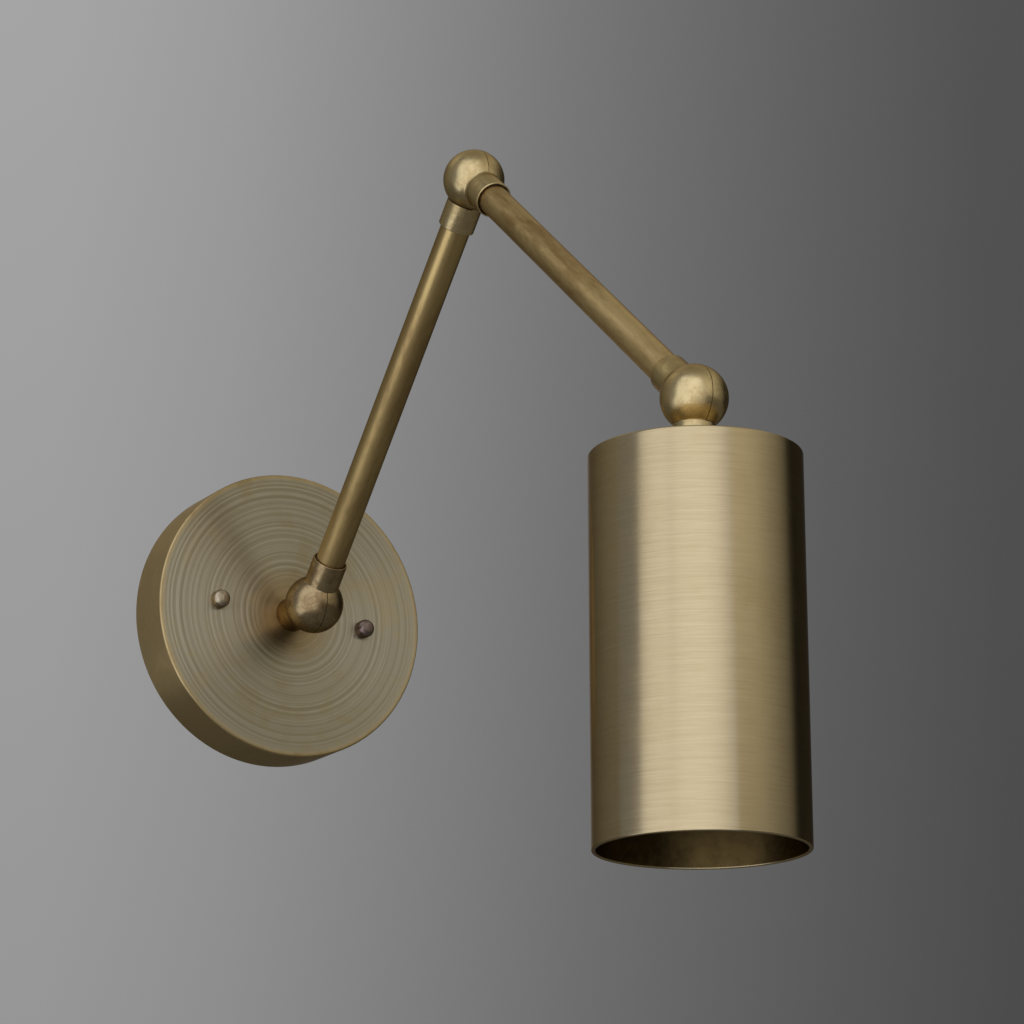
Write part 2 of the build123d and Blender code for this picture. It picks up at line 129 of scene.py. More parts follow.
# lampholder: profiles are (radius, depth below its start)
cap_hub_r = 7.0
cap_hub_edge = 0.4
cap_shoulder = [(cap_hub_r, 5.1), (7.3, 5.8), (8.2, 6.5), (15.9, 11.0), (16.9, 11.9)]
cap_skirt, cap_skirt_inside = 13.1, 13.2
cap_under = [(16.0, 12.4), (cap_hub_r, 7.6), (pipe_bore_r, 7.6)]
cap_wall = 0.8
cap_bead_from_end, cap_bead_rise, cap_bead_half = 0.9, 0.4, 0.8
holder_wall = 0.6
holder_bead_from_start = 11.5
holder_beads_from_end = (7.0, 4.0)
holder_bead_rise, holder_bead_half = 0.45, 1.1
lip_start, lip_edge, lip_inside = 0.3, 0.15, 0.1
thread_pitch = 3.6
thread_depth = 0.85
thread_sheet = 0.35
thread_points = 12          # along one wave of the profile
thread_steps = 72           # round one turn
thread_room = 4.0
terminal_dome = [(0, 0), (2.2, -0.1), (2.75, -0.5)]
terminal_edge = 1.1
terminal_screw_h = 2.0
slot_half = 0.4
slot_depth = 0.9

# leads and crossbar in the canopy
lead_ring_r = 50.0
lead_level = 8.0
lead_ends = ((142, 162), (-38, -18), (52, 34))    # the last two bends of the live, neutral and ground lead
connector_r = 5.5
connector_tip_r = 3.5
connector_length = 20.0
connector_bore = 8.0
connector_hole_r = 1.15
connector_foot, connector_foot_edge = 0.6, 0.3
connector_tip = [(0.15, 0.8), (-0.6, 0.15), (-1.3, 0)]    # past the tip's radius, short of the length
rib_from, rib_to = 2.6, 16.8
rib_pitch = 22.5            # degrees
rib_height = 0.35
bar_edge = 0.35

# ---------------------------------------------------------------- colours and light

shade_brass = (0.60, 0.465, 0.238)
brushed_brass = (0.52, 0.39, 0.19)
aged_brass = (0.50, 0.35, 0.135)
# the brown of the painted shade round the canopy's neck
neck_shade_brown = (0.36, 0.23, 0.08)
pale_brass = (0.49, 0.43, 0.285)
olive_brass = (0.36, 0.30, 0.18)
rim_tint = (0.42, 0.34, 0.26)

# two tones each, blended in patches
canopy_side_tones = (0.53, 0.385, 0.165), (0.42, 0.285, 0.11)
ball_tones = (0.68, 0.52, 0.235), (0.53, 0.375, 0.15)
dark_ball_tones = (0.42, 0.30, 0.135), (0.24, 0.15, 0.06)
# one nut brass in a lit and a shaded tone: the right nut's darker tones are painted shade
lit_nut_tones = (0.62, 0.52, 0.32), (0.30, 0.21, 0.12)
shaded_nut_tones = (0.28, 0.20, 0.155), (0.16, 0.11, 0.08)
# painted shade: the very dark tones of the shade's inside
inside_painted_shade_tones = (0.20, 0.13, 0.042), (0.08, 0.05, 0.018)
lower_arm_tones = (0.62, 0.43, 0.155), (0.42, 0.275, 0.095)
lower_arm_low_tones = (0.48, 0.33, 0.115), (0.32, 0.205, 0.07)
upper_arm_tones = (0.68, 0.495, 0.21), (0.38, 0.24, 0.085)
# painted highlight: the upper arm's tones grow brighter towards its lower end, by the shade
upper_arm_highlight_tones = (0.90, 0.665, 0.30), (0.56, 0.37, 0.135)

# where those tones change, in mm
# radii of the painted shade round the canopy's neck
neck_shade_from, neck_shade_to = 9, 27
side_start, side_full = 3, 0.2          # short of the canopy's radius
arm_low_to, arm_low_from = 25, 135      # heights
nut_split = 5


def grey(tone):
    return (tone, tone, tone)


floor_tones = grey(0.70), grey(0.73)
floor_off_camera = grey(0.27)
ceiling_tone = grey(0.54)
cool_white = (1.0, 1.07, 1.33)

# how light the room is, by degrees round the lamp and by degrees above the horizon
room_tones = [
    (-180, 0.30), (-120, 0.42), (-80, 0.68), (-62, 0.59), (-54, 0.52), (-47, 0.45), (-39, 0.37),
    (-30, 0.29), (-21, 0.23), (-13, 0.15), (-7, 0.03), (0, 0.014), (18, 0.035), (38, 0.05),
    (52.2, 0.088), (55.4, 0.126), (58.6, 0.178), (61.8, 0.255), (65, 0.334), (67.8, 0.378),
    (72, 0.38), (82, 0.20), (92, 0.15), (112, 0.18), (134, 0.22), (160, 0.21), (180, 0.30)]
room_levels = [(-90, 0.5), (-20, 0.5), (24, 1.0), (50, 0.95), (66, 0.62), (80, 0.5), (90, 0.45)]

# how light the softbox is, by degrees round the lamp
softbox_tones = [
    (145, 0.21), (168, 0.22), (172, 0.23), (175, 0.70), (180, 0.86), (188, 0.97), (196, 1.00),
    (204, 1.02), (209, 0.94), (213, 0.98), (218, 1.06), (233, 1.10), (246, 1.10), (260, 0.99),
    (268, 0.80), (275, 0.62)]

# ---------------------------------------------------------------- the frame

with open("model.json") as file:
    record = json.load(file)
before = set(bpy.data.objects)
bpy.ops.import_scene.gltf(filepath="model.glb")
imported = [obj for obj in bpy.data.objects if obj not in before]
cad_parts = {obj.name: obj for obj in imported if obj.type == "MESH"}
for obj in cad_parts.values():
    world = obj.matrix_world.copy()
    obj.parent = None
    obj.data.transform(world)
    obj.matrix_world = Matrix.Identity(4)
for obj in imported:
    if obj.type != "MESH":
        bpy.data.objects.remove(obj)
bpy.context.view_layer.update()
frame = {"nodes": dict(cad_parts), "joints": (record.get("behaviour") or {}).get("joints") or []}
joint_place = {joint["name"]: Vector(joint["pos_m"]) / MM for joint in frame["joints"]}


def box_mm(node):
    low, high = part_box(node)
    return low / MM, high / MM


base_centre = joint_place["base_swivel"]
elbow_centre = joint_place["elbow_swivel"]
tip_centre = joint_place["shade_swivel"]
canopy_low, canopy_high = box_mm("canopy")
canopy_r = canopy_high.x
canopy_depth = -canopy_low.y
shade_low, shade_high = box_mm("shade")
shade_r = shade_high.x
shade_top, shade_mouth = shade_high.z, shade_low.z


def arm_angle(start, end):
    """The angle of a line in the arms' plane, from straight out of the wall upwards."""
    across = end - start
    return degrees(Vector((-across.y, across.z)).angle_signed(Vector((1, 0))))


lower_arm_angle = arm_angle(base_centre, elbow_centre)
upper_arm_angle = arm_angle(elbow_centre, tip_centre)
lower_arm_length = (elbow_centre - base_centre).length
upper_arm_length = (tip_centre - elbow_centre).length


# ---------------------------------------------------------------- modelling helpers

def choose(*pieces):
    """Selects only these pieces, the last one active."""
    bpy.ops.object.select_all(action="DESELECT")
    for piece in pieces:
        piece.select_set(True)
        bpy.context.view_layer.objects.active = piece


def edit(piece):
    choose(piece)
    bpy.ops.object.mode_set(mode="EDIT")


def leave_edit():
    bpy.ops.object.mode_set(mode="OBJECT")


def merge_points(distance):
    """Makes one point of those that lie on each other, in edit mode."""
    bpy.ops.mesh.select_all(action="SELECT")
    bpy.ops.mesh.remove_doubles(threshold=distance * MM)


def close_up():
    """Closes a turned mesh where it meets itself and points its faces outwards, in edit mode."""
    merge_points(0.002)
    bpy.ops.mesh.normals_make_consistent(inside=False)


def arm_frame(centre, angle):
    """The place of a piece made along +Z that is to point along an arm angle."""
    turn = Matrix.Rotation(radians(90 - angle), 4, "X")
    return Matrix.Translation(Vector(centre) * MM) @ turn


def apply_place(piece):
    choose(piece)
    bpy.ops.object.transform_apply(location=True, rotation=True, scale=True)
    return piece


def set_down(piece, where):
    """Puts a piece in its place and makes that place part of its mesh."""
    piece.matrix_world = where
    return apply_place(piece)


def arc(centre_r, centre_z, radius, start, end, steps):
    """Points of a profile's round stretch, angles in degrees from straight out (+r) towards +z."""
    angles = [radians(start + (end - start) * i / steps) for i in range(steps + 1)]
    return [(centre_r + radius * cos(a), centre_z + radius * sin(a)) for a in angles]


def outline(name, profile, closed):
    """A line through (radius, height) points in the XZ plane, still in edit mode."""
    bpy.ops.object.select_all(action="DESELECT")
    bpy.ops.mesh.primitive_circle_add(vertices=3, radius=MM, location=(0, 0, 0))
    piece = bpy.context.object
    piece.name = piece.data.name = name
    bpy.ops.object.mode_set(mode="EDIT")
    bpy.ops.mesh.select_all(action="SELECT")
    bpy.ops.mesh.merge(type="CENTER")
    points = [Vector((radius, 0, height)) * MM for radius, height in profile]
    bpy.ops.transform.translate(value=points[0])
    if closed:
        points.append(points[0])
    for before, after in zip(points, points[1:]):
        bpy.ops.mesh.extrude_vertices_move(TRANSFORM_OT_translate={"value": after - before})
    return piece


def turned(name, profile, steps=128, closed=True):
    """A piece turned on a lathe round +Z from a profile of (radius, height) points."""
    piece = outline(name, profile, closed)
    bpy.ops.mesh.select_all(action="SELECT")
    bpy.ops.mesh.spin(steps=steps, angle=2 * pi, center=(0, 0, 0), axis=(0, 0, 1))
    close_up()
    leave_edit()
    return piece


def block(name, low, high):
    """A block between two corners, as a cutter."""
    bpy.ops.object.select_all(action="DESELECT")
    middle = (Vector(low) + Vector(high)) / 2
    bpy.ops.mesh.primitive_cube_add(size=1, location=middle * MM)
    piece = bpy.context.object
    piece.name = name
    piece.scale = (Vector(high) - Vector(low)) * MM
    return apply_place(piece)


def copy_of(node, name):
    """A free copy of a CAD node, in the same place."""
    piece = node.copy()
    piece.data = node.data.copy()
    piece.parent = None
    piece.matrix_world = Matrix.Identity(4)
    piece.name = piece.data.name = name
    bpy.context.scene.collection.objects.link(piece)
    return piece


def join(pieces, name):
    choose(*pieces)
    bpy.ops.object.join()
    piece = bpy.context.object
    piece.name = piece.data.name = name
    return piece


def apply_modifiers(piece):
    choose(piece)
    for modifier in list(piece.modifiers):
        bpy.ops.object.modifier_apply(modifier=modifier.name)


def combine(piece, tool, operation):
    """Cuts a tool out of a piece, or keeps what both share, and throws the tool away."""
    modifier = piece.modifiers.new("cut", "BOOLEAN")
    modifier.operation = operation
    modifier.solver = "EXACT"
    modifier.object = tool
    apply_modifiers(piece)
    bpy.data.objects.remove(tool)


def ease_edges(piece, width, segments):
    """Rounds every edge that turns by more than 50 degrees."""
    modifier = piece.modifiers.new("eased edges", "BEVEL")
    modifier.width = width * MM
    modifier.segments = segments
    modifier.limit_method = "ANGLE"
    modifier.angle_limit = radians(50)
    modifier.use_clamp_overlap = True
    apply_modifiers(piece)


def smooth(piece, angle=32):
    choose(piece)
    bpy.ops.object.shade_smooth_by_angle(angle=radians(angle))


def dress(piece, material, body, slot, *nodes):
    """Gives a finished piece its finish, its body and the CAD nodes that it stands for."""
    piece.data.materials.clear()
    piece.data.materials.append(material)
    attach(piece, body)
    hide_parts(*nodes)
    return piece


# ---------------------------------------------------------------- material helpers

class Tree:
    """The nodes of a material or of the world, with short calls for those that are needed."""

    def __init__(self, owner, coordinates="Object", bare=False):
        owner.use_nodes = True
        self.nodes = owner.node_tree.nodes
        self.links = owner.node_tree.links
        if bare:
            self.nodes.clear()
        self.place = self.nodes.new("ShaderNodeTexCoord").outputs[coordinates]

    def fill(self, socket, value):
        """Gives an input a link, a number or a colour."""
        if isinstance(value, bpy.types.NodeSocket):
            self.links.new(value, socket)
        else:
            socket.default_value = (*value, 1) if socket.type == "RGBA" else value

    def add(self, kind, inputs, **settings):
        """A new node with its settings, and its inputs by name or number."""
        node = self.nodes.new(kind)
        for name, value in settings.items():
            setattr(node, name, value)
        for name, value in inputs.items():
            self.fill(node.inputs[name], value)
        return node

    def axes(self):
        """X, Y and Z of the place."""
        return self.add("ShaderNodeSeparateXYZ", {0: self.place}).outputs

    def math(self, operation, *values):
        return self.add("ShaderNodeMath", dict(enumerate(values)), operation=operation).outputs[0]

    def weigh(self, first, first_share, second, second_share):
        """The sum of two values, each times its share."""
        return self.math("ADD", self.math("MULTIPLY", first, first_share),
                         self.math("MULTIPLY", second, second_share))

    def remap(self, value, low, high, to_low=0.0, to_high=1.0, way="SMOOTHSTEP"):
        span = {"Value": value, "From Min": low, "From Max": high, "To Min": to_low, "To Max": to_high}
        return self.add("ShaderNodeMapRange", span, interpolation_type=way).outputs["Result"]

    def blend(self, share, first, second):
        return self.add("ShaderNodeMix", {0: share, 6: first, 7: second}, data_type="RGBA").outputs[2]

    def ramp(self, value, stops):
        """A colour that goes through stops of (share of the way, colour), in order."""
        node = self.add("ShaderNodeValToRGB", {"Fac": value})
        elements = node.color_ramp.elements
        while len(elements) > 1:
            elements.remove(elements[-1])
        elements[0].position = stops[0][0]
        elements[0].color = (*stops[0][1], 1)
        for position, colour in stops[1:]:
            elements.new(position).color = (*colour, 1)
        return node.outputs["Color"]


class Finish(Tree):
    """A material under construction. Its patterns are fixed to the piece."""

    def __init__(self, name):
        self.material = bpy.data.materials.new(name)
        super().__init__(self.material)
        self.shader = self.nodes["Principled BSDF"]

    def set(self, **values):
        for name, value in values.items():
            self.fill(self.shader.inputs[name.replace("_", " ")], value)

    def squeezed(self, times):
        """The place for a pattern of level lines, this many times as wide as they are high."""
        way = {"Vector": self.place, "Scale": (1, 1, times)}
        return self.add("ShaderNodeMapping", way).outputs["Vector"]

    def lengthways(self, angle, stretch):
        """The place for a pattern that is to run along an arm at this angle."""
        way = {"Vector": self.place, "Rotation": (radians(90 - angle), 0, 0), "Scale": (1, 1, stretch)}
        return self.add("ShaderNodeMapping", way, vector_type="TEXTURE").outputs["Vector"]

    def noise(self, size, detail=3, roughness=0.55, place=None, distortion=0.0):
        """A noise with patches of about this size in millimetres."""
        look = {"Vector": place or self.place, "Scale": 1 / (size * MM), "Detail": detail,
                "Roughness": roughness, "Distortion": distortion}
        return self.add("ShaderNodeTexNoise", look).outputs["Fac"]

    def bump(self, height, distance, strength):
        """Raises the surface by a pattern, over a distance in millimetres."""
        look = {"Height": height, "Distance": distance * MM, "Strength": strength}
        self.set(Normal=self.add("ShaderNodeBump", look).outputs["Normal"])

    def shine_across(self, axis, amount):
        """Brushing round an axis: the shine spreads across the brush lines."""
        tangent = self.add("ShaderNodeTangent", {}, direction_type="RADIAL", axis=axis)
        self.set(Anisotropic=amount, Anisotropic_Rotation=0.25, Tangent=tangent.outputs["Tangent"])


class Brass(Finish):
    """Antique brass with a thin satin lacquer. Its share goes from 0 to 1 in cloudy patches."""

    def __init__(self, name, patch, low, high, rough, swing, coat=0.3, along=None):
        super().__init__(name)
        place = None if along is None else self.lengthways(along, 4.5)
        cloud = self.noise(patch, detail=5, roughness=0.62, distortion=0.6, place=place)
        fleck = self.noise(patch / 7, place=place)
        self.share = self.remap(self.weigh(cloud, 0.75, fleck, 0.25), low, high)
        self.roughness = self.remap(self.share, 0, 1, rough, rough + swing)
        self.set(Roughness=self.roughness, Metallic=1.0, Coat_Weight=coat, Coat_Roughness=0.3,
                 Coat_IOR=1.4, Specular_Tint=rim_tint)


# ---------------------------------------------------------------- finishes

def shade_finish():
    """Fine level brushing round the shade."""
    made = Brass("shade brass", patch=42, low=0.40, high=0.72, rough=0.235, swing=0.05)
    wide = made.noise(30, detail=3, roughness=0.6, place=made.squeezed(40))
    fine = made.noise(14, detail=4, roughness=0.7, place=made.squeezed(75))
    lines = made.weigh(wide, 0.4, fine, 0.6)
    tone = made.blend(made.remap(lines, 0.36, 0.66), shade_brass, brushed_brass)
    made.set(Base_Color=made.blend(made.remap(made.share, 0, 1, 0.0, 0.2), tone, aged_brass))
    made.bump(lines, 0.013, 0.6)
    made.shine_across("Z", 0.80)
    return made.material


def canopy_finish():
    """Turned face: rings round the middle, and sectors that shine across them."""
    made = Brass("canopy brass", patch=30, low=0.42, high=0.70, rough=0.33, swing=0.08)
    x, _, z = made.axes()
    radius = made.math("SQRT", made.math("ADD", made.math("POWER", x, 2.0), made.math("POWER", z, 2.0)))
    look = {"W": radius, "Scale": 1 / (1.6 * MM), "Detail": 5, "Roughness": 0.7}
    ring = made.add("ShaderNodeTexNoise", look, noise_dimensions="1D").outputs["Fac"]
    tone = made.blend(made.remap(ring, 0.34, 0.70), olive_brass, pale_brass)
    face = made.blend(made.remap(made.share, 0, 1, 0.0, 0.45), tone, aged_brass)
    # painted shade: the face is painted darker and browner round the neck, where the ball and its neck shade
    # it
    dark = made.remap(radius, neck_shade_from * MM, neck_shade_to * MM, 0.75, 0.0)
    face = made.blend(dark, face, neck_shade_brown)
    # the rim and the side are browner than the face
    side = made.remap(radius, (canopy_r - side_start) * MM, (canopy_r - side_full) * MM)
    made.set(Base_Color=made.blend(side, face, made.blend(made.share, *canopy_side_tones)))
    made.bump(ring, 0.022, 0.6)
    made.shine_across("Y", 0.86)
    return made.material


def ball_finish(name, tones):
    made = Brass(name, patch=7, low=0.38, high=0.66, rough=0.24, swing=0.12)
    made.set(Base_Color=made.blend(made.share, *tones))
    made.bump(made.noise(1.2, detail=4, roughness=0.7), 0.012, 0.45)
    return made.material


def arm_finish(name, tones, low_tones, rough, low_rough, along):
    """An arm's tube: streaks along it, fine lines round it, and other tones towards its lower end: on the
    upper arm brighter, a painted highlight, and on the lower arm darker and duller.
    """
    made = Brass(name, patch=10, low=0.38, high=0.66, rough=rough, swing=0.10, along=along)
    low = made.remap(made.axes()["Z"], arm_low_to * MM, arm_low_from * MM, 1.0, 0.0)
    tone, low_tone = made.blend(made.share, *tones), made.blend(made.share, *low_tones)
    duller = made.math("MULTIPLY", low, low_rough - rough)
    made.set(Base_Color=made.blend(low, tone, low_tone),
             Roughness=made.math("ADD", made.roughness, duller))
    made.bump(made.noise(6, detail=4, roughness=0.7, place=made.lengthways(along, 0.07)), 0.012, 0.6)
    return made.material


def inside_painted_shade_finish():
    """The shade's inner face: unlacquered, its brass painted very dark as painted shade inside the shade."""
    made = Brass("dark brass", patch=18, low=0.3, high=0.7, rough=0.36, swing=0.1, coat=0.0)
    made.set(Base_Color=made.blend(made.share, *inside_painted_shade_tones))
    made.bump(made.noise(12, detail=4, roughness=0.7, place=made.squeezed(60)), 0.012, 0.6)
    made.shine_across("Z", 0.7)
    return made.material


def nut_finish():
    """The left nut has the lit tone and the right one is painted darker, purple-brown, as painted shade."""
    made = Brass("cap nut brass", patch=4, low=0.35, high=0.65, rough=0.28, swing=0.1)
    # painted shade: the nut on the right gets the darker tones
    right = made.remap(made.axes()["X"], -nut_split * MM, nut_split * MM)
    made.set(Base_Color=made.blend(right, made.blend(made.share, *lit_nut_tones),
                                   made.blend(made.share, *shaded_nut_tones)))
    return made.material


# The finishes of the parts that keep their CAD shape, by material slot: metallic, roughness and its
# swing, the size of the patches in mm and how much darker they are, the size of the fine grain and its
# depth in mm, and the coat.
kept_finishes = {
    "zinc_steel": (1.0, 0.30, 0.16, 2.6, 0.72, 0.35, 0.012, 0.1),
    "blackened_steel": (1.0, 0.34, 0.20, 1.4, 0.60, 0.25, 0.010, 0.1),
    "red_fibre": (0.0, 0.72, 0.14, 1.0, 0.70, 0.20, 0.030, 0.0),
    "holder_brass": (1.0, 0.28, 0.12, 6.0, 0.74, 0.80, 0.010, 0.2),
    "screw_shell_brass": (1.0, 0.24, 0.12, 4.0, 0.78, 0.60, 0.008, 0.1),
    "tinned_brass": (1.0, 0.30, 0.16, 1.6, 0.76, 0.30, 0.010, 0.1),
    "ground_green": (0.9, 0.34, 0.14, 1.2, 0.66, 0.25, 0.010, 0.3),
    "ground_insulation": (0.0, 0.42, 0.14, 3.0, 0.82, 0.22, 0.012, 0.1),
    "wire_insulation": (0.0, 0.40, 0.14, 3.0, 0.80, 0.22, 0.012, 0.1),
    "neutral_insulation": (0.0, 0.42, 0.14, 3.0, 0.90, 0.22, 0.012, 0.1),
    "connector_plastic": (0.0, 0.38, 0.12, 5.0, 0.84, 0.30, 0.015, 0.2),
    "liner_card": (0.0, 0.82, 0.10, 2.2, 0.80, 0.18, 0.035, 0.0),
    "core_porcelain": (0.0, 0.22, 0.12, 4.0, 0.93, 0.50, 0.010, 0.6),
}


def kept_finish(slot, colour):
    """A finish for a CAD part: its own colour in clouds and flecks, over a fine grain."""
    metallic, rough, swing, patch, darker, grain, depth, coat = kept_finishes[slot]
    made = Finish(slot.replace("_", " "))
    cloud = made.noise(patch, detail=4, roughness=0.6, distortion=0.4)
    fleck = made.noise(grain, detail=3, roughness=0.65)
    share = made.remap(made.weigh(cloud, 0.65, fleck, 0.35), 0.36, 0.66)
    made.set(Base_Color=made.blend(share, colour, tuple(part * darker for part in colour)),
             Roughness=made.remap(share, 0, 1, rough, rough + swing),
             Metallic=metallic, Coat_Weight=coat, Coat_Roughness=0.2)
    made.bump(fleck, depth, 0.6)
    return made.material


def dress_kept_nodes():
    """Every CAD part that still shows gets a finish in its own packed colour."""
    made = {}
    for node in frame["nodes"].values():
        for holder in node.material_slots:
            slot = holder.material.name
            if slot not in kept_finishes:
                continue
            if slot not in made:
                shader = holder.material.node_tree.nodes["Principled BSDF"]
                made[slot] = kept_finish(slot, tuple(shader.inputs["Base Color"].default_value)[:3])
            holder.material = made[slot]
    return made


# ---------------------------------------------------------------- canopy

def ring_radii():
    """The radii of the turned rings on the face, at uneven distances."""
    radii = []
    radius = ring_first
    while radius < ring_last:
        groove = len(radii)
        radii.append(radius)
        swing = 0.5 * sin(groove * 2.4) + 0.35 * sin(groove * 5.1 + 1)
        radius += ring_step + swing
    return radii


def cap_nut_places():
    """The middles of the two cap nuts, from the box round the pair."""
    low, high = box_mm("canopy_cap_nuts")
    return [(low.x + cap_nut_r, high.z - cap_nut_r), (high.x - cap_nut_r, low.z + cap_nut_r)]


def make_canopy():
    face = canopy_depth
    profile = [(pipe_bore_r, face - canopy_wall), (pipe_bore_r, face)]
    for radius in ring_radii():
        profile += [(radius - ring_width, face), (radius, face - ring_depth), (radius + ring_width, face)]
    profile += arc(canopy_r - canopy_edge, face - canopy_edge, canopy_edge, 90, 0, 6)
    profile += [(canopy_r, canopy_back_edge), (canopy_r - canopy_back_edge, 0), (canopy_r - canopy_wall, 0)]
    profile += [(canopy_r - canopy_wall, face - canopy_wall)]
    canopy = turned("turned_canopy", profile, steps=192)
    set_down(canopy, arm_frame((0, 0, 0), 0))
    way = [(0, 0), (stud_hole_r, 0), (stud_hole_r, stud_hole_length), (0, stud_hole_length)]
    for x, z in cap_nut_places():
        hole = turned("stud hole", way, steps=32, closed=False)
        set_down(hole, arm_frame((x, stud_hole_back, z), 0))
        combine(canopy, hole, "DIFFERENCE")
    smooth(canopy, 28)
    dress(canopy, canopy_finish(), "wall_plate", "canopy_brass", "canopy")


def make_cap_nuts():
    low, high = box_mm("canopy_cap_nuts")
    height = high.y - low.y
    profile = [(radius, height - depth) for radius, depth in cap_nut_dome]
    profile += [(cap_nut_r, cap_nut_foot), (cap_nut_r - cap_nut_foot, 0), (cap_nut_bore_r, 0)]
    profile += [(cap_nut_bore_r, height - cap_nut_top), (0, height - cap_nut_top)]
    made = []
    for index, (x, z) in enumerate(cap_nut_places()):
        nut = turned(f"cap_nut_{index + 1}", profile, steps=64, closed=False)
        made.append(set_down(nut, arm_frame((x, high.y, z), 0)))
    nuts = join(made, "cap_nuts")
    smooth(nuts, 40)
    dress(nuts, nut_finish(), "wall_plate", "cap_nut_brass", "canopy_cap_nuts")


# ---------------------------------------------------------------- ball swivels

def ball_and_neck(name, fillet, has_sleeve):
    """A whole ball with its neck along +Z, the two joined by a fillet, and the bores in the neck."""
    corner_r = neck_r + fillet
    corner_z = sqrt((ball_r + fillet) ** 2 - corner_r ** 2)
    meet = degrees(asin(corner_z / (ball_r + fillet)))
    profile = arc(0, 0, ball_r, -90, meet, 56)[:-1]
    profile += arc(corner_r, corner_z, fillet, 180 + meet, 180, 8)
    profile += arc(neck_r - neck_edge, neck_reach - neck_edge, neck_edge, 0, 90, 4)
    if has_sleeve:
        seat = sleeve_r + sleeve_gap
        profile += [(seat + mouth_sink, neck_reach), (seat, neck_reach - 2 * mouth_sink)]
        profile += [(seat, neck_reach - sleeve_seat), (pipe_bore_r, neck_reach - sleeve_seat)]
    else:
        profile += [(pipe_bore_r, neck_reach)]
    profile += [(pipe_bore_r, pipe_stop), (wire_bore_r, pipe_stop)]
    profile += [(wire_bore_r, boss_r + boss_room), (0, boss_r + boss_room)]
    return turned(name, profile, closed=False)


def ball_cutter(side):
    """The other half's side of the seam, out to the sphere that the other ball sweeps."""
    ball = turned("sweep", arc(0, 0, sweep_r, -90, 90, 48), steps=96, closed=False)
    size = 2 * sweep_r
    limit = side * seam_gap / 2
    low = (-size, -size, -size) if side > 0 else (limit, -size, -size)
    high = (limit, size, size) if side > 0 else (size, size, size)
    combine(ball, block("keep", low, high), "INTERSECT")
    return ball


def along_x(piece):
    return set_down(piece, Matrix.Rotation(radians(90), 4, "Y"))


def ball_half(name, side, fillet, has_sleeve, lip):
    """One half of a swivel: half a ball and its whole neck along +Z. Side +1 holds the screw's head."""
    half = ball_and_neck(name, fillet, has_sleeve)
    combine(half, ball_cutter(side), "DIFFERENCE")
    pocket_r = ball_r - ball_wall
    start, end = sorted((0, side * pocket_depth))
    ring = [(boss_r, start - pocket_overlap), (pocket_r, start - pocket_overlap)]
    ring += [(pocket_r, end + pocket_overlap), (boss_r, end + pocket_overlap)]
    combine(half, along_x(turned("pocket", ring, steps=64)), "DIFFERENCE")
    way_r, head_r = pivot_r + fit_gap, pivot_head_r + pivot_room
    if side > 0:
        way = [(0, -overcut), (way_r, -overcut), (way_r, pivot_seat)]
        way += [(head_r, pivot_seat), (head_r, ball_r + overcut), (0, ball_r + overcut)]
    else:
        way = [(0, -pivot_end), (way_r, -pivot_end), (way_r, overcut), (0, overcut)]
    combine(half, along_x(turned("screw way", way, steps=48, closed=False)), "DIFFERENCE")
    ease_edges(half, lip, segments=3)
    smooth(half, 38)
    return half


def bend_wires(name):
    """A copy of a ball's wires with its points merged, in place of their CAD node, which is hidden."""
    node = frame["nodes"][f"{name}_wires"]
    wires = copy_of(node, f"{name}_bent_wires")
    edit(wires)
    merge_points(0.001)
    leave_edit()
    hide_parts(node.name)
    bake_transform(wires)


def make_swivel(name, centre, halves, fillets, sleeves, lips, finish):
    """A swivel. Its halves are (name, body, arm angle), the one that holds the screw's head first."""
    for (half, body, angle), side, fillet, has_sleeve in zip(halves, (1, -1), fillets, sleeves):
        piece = ball_half(f"{name}_{half}_ball", side, fillet, has_sleeve, lips[side])
        set_down(piece, arm_frame(centre, angle))
        dress(piece, finish, body, "swivel_brass", f"{name}_{half}_half")
    bend_wires(name)


def make_swivels():
    finish = ball_finish("swivel brass", ball_tones)
    dark_finish = ball_finish("dark swivel brass", dark_ball_tones)
    make_swivel("base_swivel", base_centre,
                (("plate", "wall_plate", 180), ("arm", "lower_arm", lower_arm_angle)),
                (neck_fillet, neck_fillet), (False, True), close_seam_edges, dark_finish)
    make_swivel("elbow_swivel", elbow_centre,
                (("lower", "lower_arm", lower_arm_angle + 180), ("upper", "upper_arm", upper_arm_angle)),
                (neck_fillet, soft_fillet), (True, True), seam_edges, finish)
    make_swivel("shade_swivel", tip_centre,
                (("arm", "upper_arm", upper_arm_angle + 180), ("shade", "lamp_head", -90)),
                (neck_fillet, neck_fillet), (True, False), seam_edges, finish)


# ---------------------------------------------------------------- arms

def make_sleeve(name, start, angle, length, finish):
    first = neck_reach - sleeve_seat + fit_gap
    last = length - first
    inner, eased = sleeve_r - sleeve_wall, sleeve_r - sleeve_edge
    profile = [(inner, first), (eased, first), (sleeve_r, first + sleeve_edge)]
    profile += [(sleeve_r, last - sleeve_edge), (eased, last), (inner, last)]
    tube = turned(f"{name}_sleeve", profile)
    set_down(tube, arm_frame(start, angle))
    smooth(tube)
    dress(tube, finish, name, "arm_brass", f"{name}_tube")


def make_arms():
    lower = arm_finish("lower arm brass", lower_arm_tones, lower_arm_low_tones,
                       rough=0.29, low_rough=0.46, along=lower_arm_angle)
    upper = arm_finish("upper arm brass", upper_arm_tones, upper_arm_highlight_tones,
                       rough=0.32, low_rough=0.28, along=upper_arm_angle)
    make_sleeve("lower_arm", base_centre, lower_arm_angle, lower_arm_length, lower)
    make_sleeve("upper_arm", elbow_centre, upper_arm_angle, upper_arm_length, upper)


# ---------------------------------------------------------------- shade

def in_shade(piece):
    """Places a piece made with z = 0 on the shade's top and +Z towards its mouth."""
    return set_down(piece, arm_frame((0, tip_centre.y, shade_top), -90))


